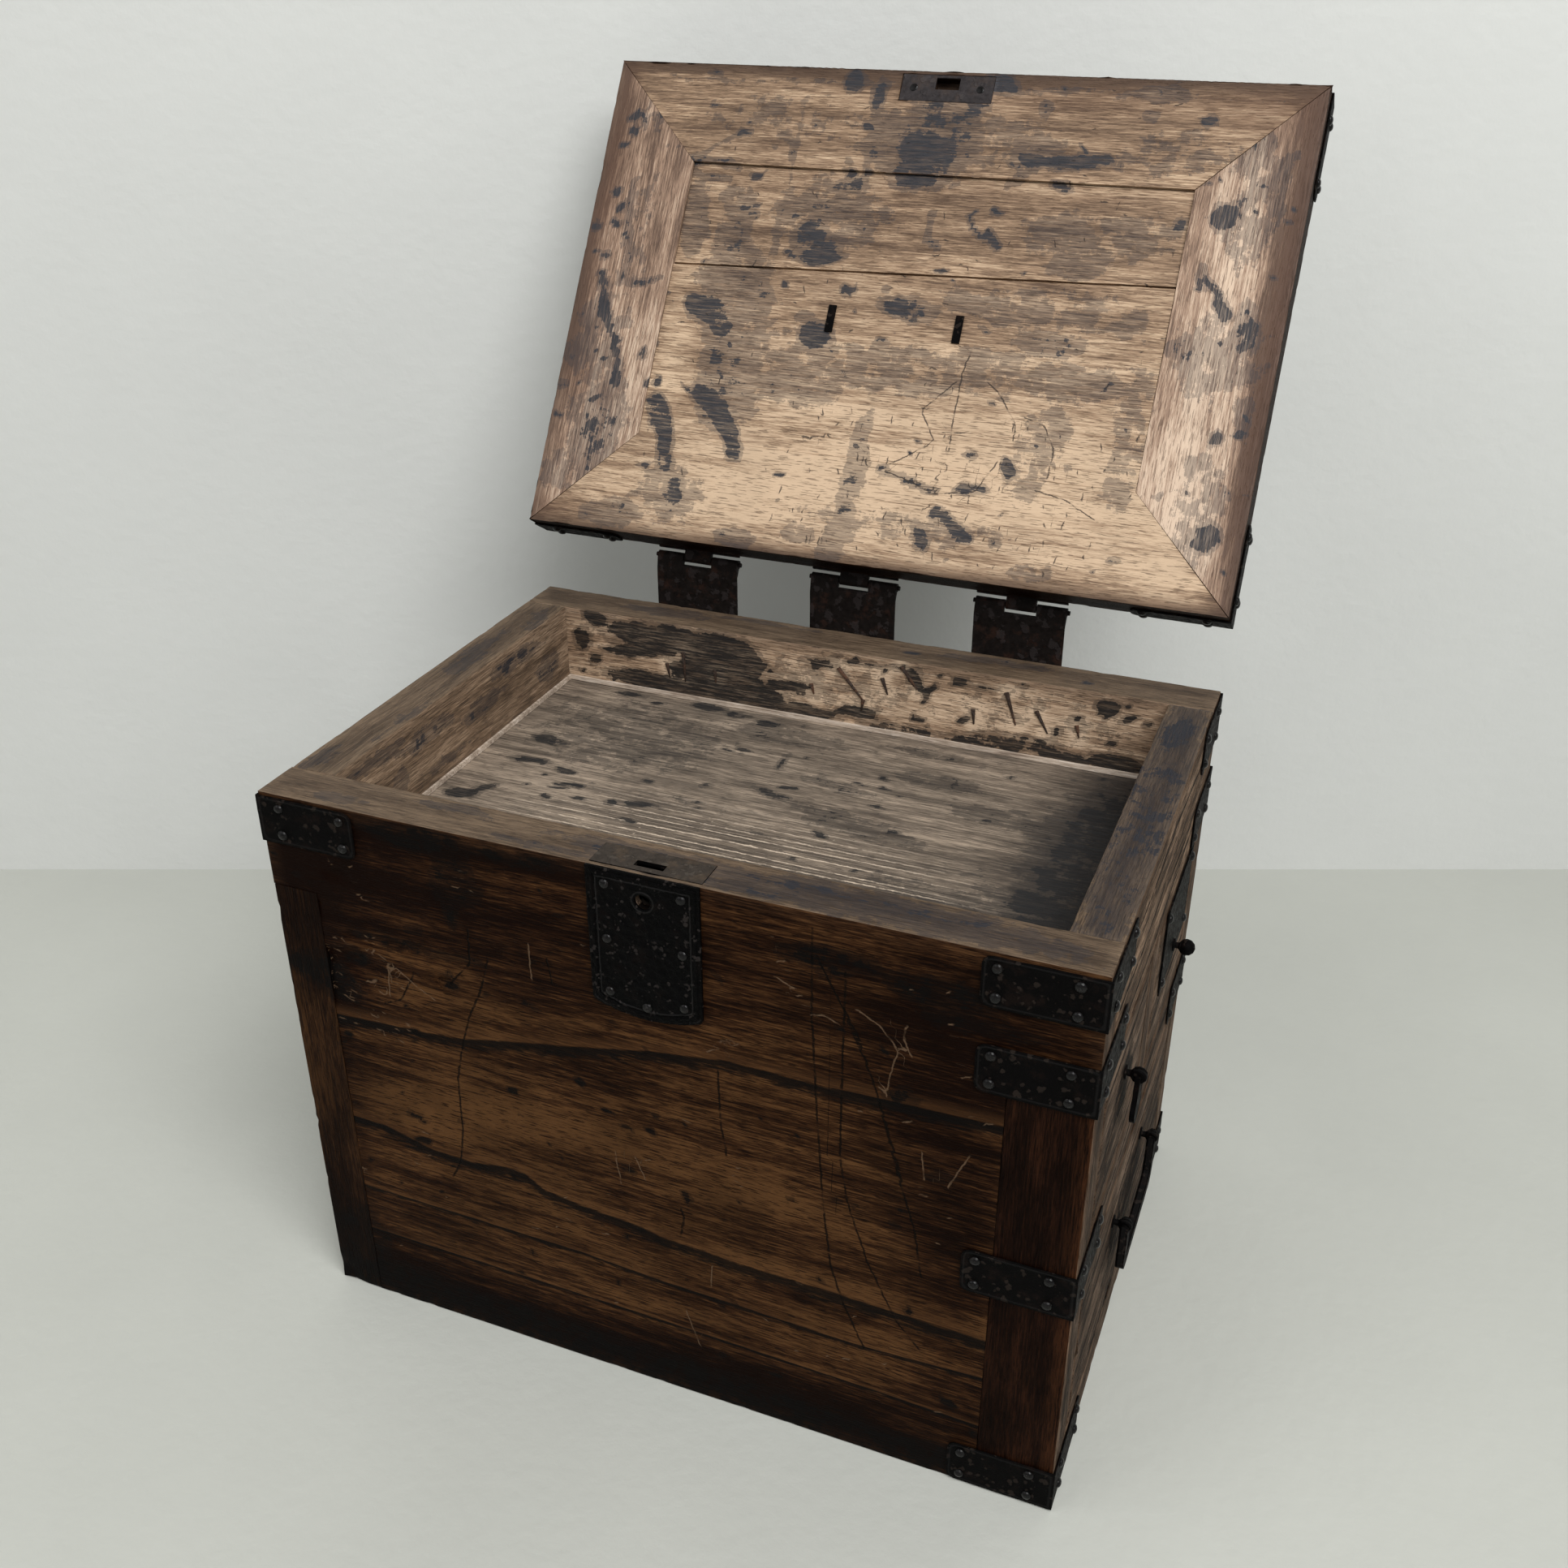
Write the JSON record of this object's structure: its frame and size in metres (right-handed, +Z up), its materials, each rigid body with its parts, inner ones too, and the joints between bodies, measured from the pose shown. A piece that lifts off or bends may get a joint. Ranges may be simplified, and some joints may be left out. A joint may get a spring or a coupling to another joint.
{
  "type": "ship chest",
  "caption": "Small iron-bound wooden ship chest: lidded tray over drawers in one end, with strap hinges, a lid lock and hanging pulls.",
  "frame": {"origin": "centre of the chest's footprint, on the surface that it stands on", "axes": "+Z up, -Y the front with the lock plate, +X the end that the drawers pull out of"},
  "size_m": [0.4666, 0.4838, 0.6634],
  "materials": {
    "dark_wood": "dark, worn, waxed hardwood",
    "weathered_wood": "grey weathered softwood",
    "lid_wood": "bare stained wood",
    "inner_wood": "bare softwood",
    "black_iron": "blackened forged iron, pitted",
    "rusty_iron": "forged iron with brown rust"
  },
  "bodies": {
    "carcass": {"front_board": "dark_wood", "back_board": "dark_wood", "left_side_board": "dark_wood", "front_post": "dark_wood", "back_post": "dark_wood", "top_rail": "weathered_wood", "middle_rail": "weathered_wood", "bottom_rail": "weathered_wood", "centre_stile": "weathered_wood", "bottom_board": "inner_wood", "drawer_shelf": "inner_wood", "drawer_partition": "inner_wood", "drawer_guides": "inner_wood", "tray_floor": "inner_wood", "tray_bead": "inner_wood", "hinge_body_leaves": "rusty_iron", "hinge_pins": "rusty_iron", "lock_plate": "black_iron", "lock_case": "black_iron", "strap_front_left": "black_iron", "strap_back_left": "black_iron", "strap_front_right_1": "black_iron", "strap_front_right_2": "black_iron", "strap_front_right_3": "black_iron", "strap_front_right_4": "black_iron", "straps_back_right": "black_iron", "body_nails": "black_iron"},
    "lid": {"lid_front_rail": "lid_wood", "lid_back_rail": "lid_wood", "lid_left_stile": "lid_wood", "lid_right_stile": "lid_wood", "lid_front_panel": "lid_wood", "lid_back_panel": "lid_wood", "hinge_lid_leaves": "rusty_iron", "catch_plate": "black_iron", "lid_corner_straps": "black_iron", "lid_nails": "black_iron", "lid_bail_posts": "black_iron"},
    "lid_bail": {"lid_bail": "black_iron"},
    "lock_bolt": {"lock_bolt": "black_iron"},
    "front_drawer": {"front_drawer_front": "weathered_wood", "front_drawer_sides": "inner_wood", "front_drawer_back": "inner_wood", "front_drawer_bottom": "inner_wood", "drop_pull_post": "black_iron"},
    "drop_pull": {"drop_pull": "black_iron"},
    "back_drawer": {"back_drawer_front": "weathered_wood", "back_drawer_sides": "inner_wood", "back_drawer_back": "inner_wood", "back_drawer_bottom": "inner_wood", "drawer_lock_plate": "black_iron", "drawer_knob": "black_iron", "drawer_nails": "black_iron"},
    "lower_drawer": {"lower_drawer_front": "weathered_wood", "lower_drawer_sides": "inner_wood", "lower_drawer_back": "inner_wood", "lower_drawer_bottom": "inner_wood", "lower_bail_posts": "black_iron"},
    "lower_bail": {"lower_bail": "black_iron"}
  },
  "joints": [
    {"name": "lid_hinge", "type": "hinge", "parent": "carcass", "child": "lid", "pos_m": [0, 0.1605, 0.3795], "axis": [1, 0, 0], "range_deg": [0, 122]},
    {"name": "lid_bail_swing", "type": "hinge", "parent": "lid", "child": "lid_bail", "pos_m": [-0.005, 0.24999, 0.5146], "axis": [1, 0, 0], "range_deg": [-34, 148]},
    {"name": "lock_bolt_slide", "type": "slide", "parent": "carcass", "child": "lock_bolt", "axis": [0, 0, 1], "range_m": [0, 0.012]},
    {"name": "front_drawer_slide", "type": "slide", "parent": "carcass", "child": "front_drawer", "axis": [1, 0, 0], "range_m": [0, 0.3]},
    {"name": "drop_pull_swing", "type": "hinge", "parent": "front_drawer", "child": "drop_pull", "pos_m": [0.232, -0.0705, 0.232], "axis": [0, -1, 0], "range_deg": [-8, 165]},
    {"name": "back_drawer_slide", "type": "slide", "parent": "carcass", "child": "back_drawer", "axis": [1, 0, 0], "range_m": [0, 0.3]},
    {"name": "lower_drawer_slide", "type": "slide", "parent": "carcass", "child": "lower_drawer", "axis": [1, 0, 0], "range_m": [0, 0.3]},
    {"name": "lower_bail_swing", "type": "hinge", "parent": "lower_drawer", "child": "lower_bail", "pos_m": [0.232, 0, 0.103], "axis": [0, -1, 0], "range_deg": [-6, 165]}
  ]
}
